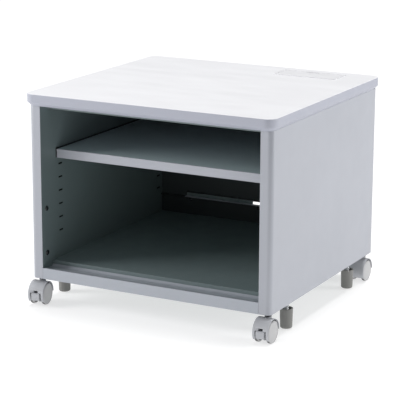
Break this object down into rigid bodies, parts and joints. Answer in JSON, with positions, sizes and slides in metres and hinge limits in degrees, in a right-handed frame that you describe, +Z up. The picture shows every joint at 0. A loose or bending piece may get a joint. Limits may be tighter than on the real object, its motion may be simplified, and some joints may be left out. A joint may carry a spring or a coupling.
{
  "type": "mobile printer stand",
  "caption": "Low two-tone steel printer stand on twin-wheel casters, open at the front, with a light top board that has a covered cable slot, one shelf and levelling feet.",
  "frame": {"origin": "on the floor under the centre of the cabinet and its top board", "axes": "+Z up, +X to the right seen from the front, -Y towards the open front"},
  "size_m": [0.492, 0.4776, 0.3932],
  "materials": {
    "shell_paint": "satin light grey powder coat",
    "lining_paint": "matte dark grey powder coat",
    "top_laminate": "satin off-white foil on board",
    "frame_plastic": "satin",
    "caster_plastic": "satin light grey nylon",
    "wheel_plastic": "satin light grey nylon",
    "foot_plastic": "matte warm grey",
    "zinc_steel": "bright zinc plate",
    "dark_steel": "black oxide"
  },
  "bodies": {
    "cabinet": {"left_outer_panel": "shell_paint", "right_outer_panel": "shell_paint", "front_rail": "shell_paint", "back_gap_edging": "shell_paint", "left_inner_panel": "lining_paint", "right_inner_panel": "lining_paint", "bottom_tray": "lining_paint", "back_panel": "lining_paint", "back_gap_tabs": "lining_paint", "back_lower_rail": "lining_paint", "top_front_rail": "lining_paint", "top_rear_rail": "lining_paint", "top_board": "top_laminate", "cable_slot_frame": "frame_plastic", "left_base_channel": "zinc_steel", "right_base_channel": "zinc_steel", "shelf_clips": "zinc_steel", "top_board_screws": "zinc_steel", "caster_nuts": "zinc_steel", "foot_nuts": "zinc_steel", "liner_screws": "dark_steel", "back_rail_screws": "dark_steel", "back_gap_cover": "dark_steel", "front_left_caster_stem": "dark_steel", "front_right_caster_stem": "dark_steel", "rear_left_caster_stem": "dark_steel", "rear_right_caster_stem": "dark_steel"},
    "shelf": {"shelf_panel": "lining_paint", "shelf_front_trim": "shell_paint", "shelf_stiffener": "lining_paint"},
    "slot_cover": {"cable_slot_cover": "frame_plastic"},
    "front_left_caster": {"front_left_caster_hood": "caster_plastic", "front_left_caster_axle": "zinc_steel", "front_left_caster_brake_pin": "zinc_steel"},
    "front_left_left_wheel": {"front_left_caster_left_wheel": "wheel_plastic"},
    "front_left_right_wheel": {"front_left_caster_right_wheel": "wheel_plastic"},
    "front_left_brake": {"front_left_caster_brake_lever": "caster_plastic"},
    "front_right_caster": {"front_right_caster_hood": "caster_plastic", "front_right_caster_axle": "zinc_steel", "front_right_caster_brake_pin": "zinc_steel"},
    "front_right_left_wheel": {"front_right_caster_left_wheel": "wheel_plastic"},
    "front_right_right_wheel": {"front_right_caster_right_wheel": "wheel_plastic"},
    "front_right_brake": {"front_right_caster_brake_lever": "caster_plastic"},
    "rear_left_caster": {"rear_left_caster_hood": "caster_plastic", "rear_left_caster_axle": "zinc_steel"},
    "rear_left_left_wheel": {"rear_left_caster_left_wheel": "wheel_plastic"},
    "rear_left_right_wheel": {"rear_left_caster_right_wheel": "wheel_plastic"},
    "rear_right_caster": {"rear_right_caster_hood": "caster_plastic", "rear_right_caster_axle": "zinc_steel"},
    "rear_right_left_wheel": {"rear_right_caster_left_wheel": "wheel_plastic"},
    "rear_right_right_wheel": {"rear_right_caster_right_wheel": "wheel_plastic"},
    "front_left_foot_stud": {"front_left_foot_stud": "zinc_steel"},
    "front_left_foot_cup": {"front_left_foot_cup": "foot_plastic"},
    "front_right_foot_stud": {"front_right_foot_stud": "zinc_steel"},
    "front_right_foot_cup": {"front_right_foot_cup": "foot_plastic"},
    "rear_left_foot_stud": {"rear_left_foot_stud": "zinc_steel"},
    "rear_left_foot_cup": {"rear_left_foot_cup": "foot_plastic"},
    "rear_right_foot_stud": {"rear_right_foot_stud": "zinc_steel"},
    "rear_right_foot_cup": {"rear_right_foot_cup": "foot_plastic"}
  },
  "joints": [
    {"name": "shelf_lift", "type": "slide", "parent": "cabinet", "child": "shelf", "axis": [0, 0, 1], "range_m": [0, 0.04]},
    {"name": "slot_cover_lift", "type": "slide", "parent": "cabinet", "child": "slot_cover", "axis": [0, 0, 1], "range_m": [0, 0.03]},
    {"name": "front_left_swivel", "type": "hinge", "parent": "cabinet", "child": "front_left_caster", "pos_m": [-0.2285, -0.209, 0.05], "axis": [0, 0, 1], "continuous": true},
    {"name": "front_left_left_wheel_roll", "type": "hinge", "parent": "front_left_caster", "child": "front_left_left_wheel", "pos_m": [-0.23882, -0.21933, 0.02], "axis": [0.9925, 0.1219, 0], "continuous": true},
    {"name": "front_left_right_wheel_roll", "type": "hinge", "parent": "front_left_caster", "child": "front_left_right_wheel", "pos_m": [-0.21599, -0.21653, 0.02], "axis": [0.9925, 0.1219, 0], "continuous": true},
    {"name": "front_left_brake_press", "type": "hinge", "parent": "front_left_caster", "child": "front_left_brake", "pos_m": [-0.22594, -0.22984, 0.0215], "axis": [0.9925, 0.1219, 0], "range_deg": [0, 15]},
    {"name": "front_right_swivel", "type": "hinge", "parent": "cabinet", "child": "front_right_caster", "pos_m": [0.2285, -0.209, 0.05], "axis": [0, 0, 1], "continuous": true},
    {"name": "front_right_left_wheel_roll", "type": "hinge", "parent": "front_right_caster", "child": "front_right_left_wheel", "pos_m": [0.217, -0.218, 0.02], "axis": [1, 0, 0], "continuous": true},
    {"name": "front_right_right_wheel_roll", "type": "hinge", "parent": "front_right_caster", "child": "front_right_right_wheel", "pos_m": [0.24, -0.218, 0.02], "axis": [1, 0, 0], "continuous": true},
    {"name": "front_right_brake_press", "type": "hinge", "parent": "front_right_caster", "child": "front_right_brake", "pos_m": [0.2285, -0.23, 0.0215], "axis": [1, 0, 0], "range_deg": [0, 15]},
    {"name": "rear_left_swivel", "type": "hinge", "parent": "cabinet", "child": "rear_left_caster", "pos_m": [-0.2285, 0.209, 0.05], "axis": [0, 0, 1], "continuous": true},
    {"name": "rear_left_left_wheel_roll", "type": "hinge", "parent": "rear_left_caster", "child": "rear_left_left_wheel", "pos_m": [-0.24, 0.2, 0.02], "axis": [1, 0, 0], "continuous": true},
    {"name": "rear_left_right_wheel_roll", "type": "hinge", "parent": "rear_left_caster", "child": "rear_left_right_wheel", "pos_m": [-0.217, 0.2, 0.02], "axis": [1, 0, 0], "continuous": true},
    {"name": "rear_right_swivel", "type": "hinge", "parent": "cabinet", "child": "rear_right_caster", "pos_m": [0.2285, 0.209, 0.05], "axis": [0, 0, 1], "continuous": true},
    {"name": "rear_right_left_wheel_roll", "type": "hinge", "parent": "rear_right_caster", "child": "rear_right_left_wheel", "pos_m": [0.217, 0.2, 0.02], "axis": [1, 0, 0], "continuous": true},
    {"name": "rear_right_right_wheel_roll", "type": "hinge", "parent": "rear_right_caster", "child": "rear_right_right_wheel", "pos_m": [0.24, 0.2, 0.02], "axis": [1, 0, 0], "continuous": true},
    {"name": "front_left_foot_travel", "type": "slide", "parent": "cabinet", "child": "front_left_foot_stud", "axis": [0, 0, 1], "range_m": [-0.002, 0.008]},
    {"name": "front_left_foot_turn", "type": "hinge", "parent": "front_left_foot_stud", "child": "front_left_foot_cup", "pos_m": [-0.2285, -0.135, 0.02], "axis": [0, 0, 1], "range_deg": [-577, 2305]},
    {"name": "front_right_foot_travel", "type": "slide", "parent": "cabinet", "child": "front_right_foot_stud", "axis": [0, 0, 1], "range_m": [-0.002, 0.008]},
    {"name": "front_right_foot_turn", "type": "hinge", "parent": "front_right_foot_stud", "child": "front_right_foot_cup", "pos_m": [0.2285, -0.135, 0.02], "axis": [0, 0, 1], "range_deg": [-577, 2305]},
    {"name": "rear_left_foot_travel", "type": "slide", "parent": "cabinet", "child": "rear_left_foot_stud", "axis": [0, 0, 1], "range_m": [-0.002, 0.008]},
    {"name": "rear_left_foot_turn", "type": "hinge", "parent": "rear_left_foot_stud", "child": "rear_left_foot_cup", "pos_m": [-0.2285, 0.135, 0.02], "axis": [0, 0, 1], "range_deg": [-577, 2305]},
    {"name": "rear_right_foot_travel", "type": "slide", "parent": "cabinet", "child": "rear_right_foot_stud", "axis": [0, 0, 1], "range_m": [-0.002, 0.008]},
    {"name": "rear_right_foot_turn", "type": "hinge", "parent": "rear_right_foot_stud", "child": "rear_right_foot_cup", "pos_m": [0.2285, 0.135, 0.02], "axis": [0, 0, 1], "range_deg": [-577, 2305]}
  ],
  "couplings": [
    {"joint": "front_left_foot_turn", "follows": "front_left_foot_travel", "rad_per_m": 5026.5},
    {"joint": "front_right_foot_turn", "follows": "front_right_foot_travel", "rad_per_m": 5026.5},
    {"joint": "rear_left_foot_turn", "follows": "rear_left_foot_travel", "rad_per_m": 5026.5},
    {"joint": "rear_right_foot_turn", "follows": "rear_right_foot_travel", "rad_per_m": 5026.5}
  ]
}
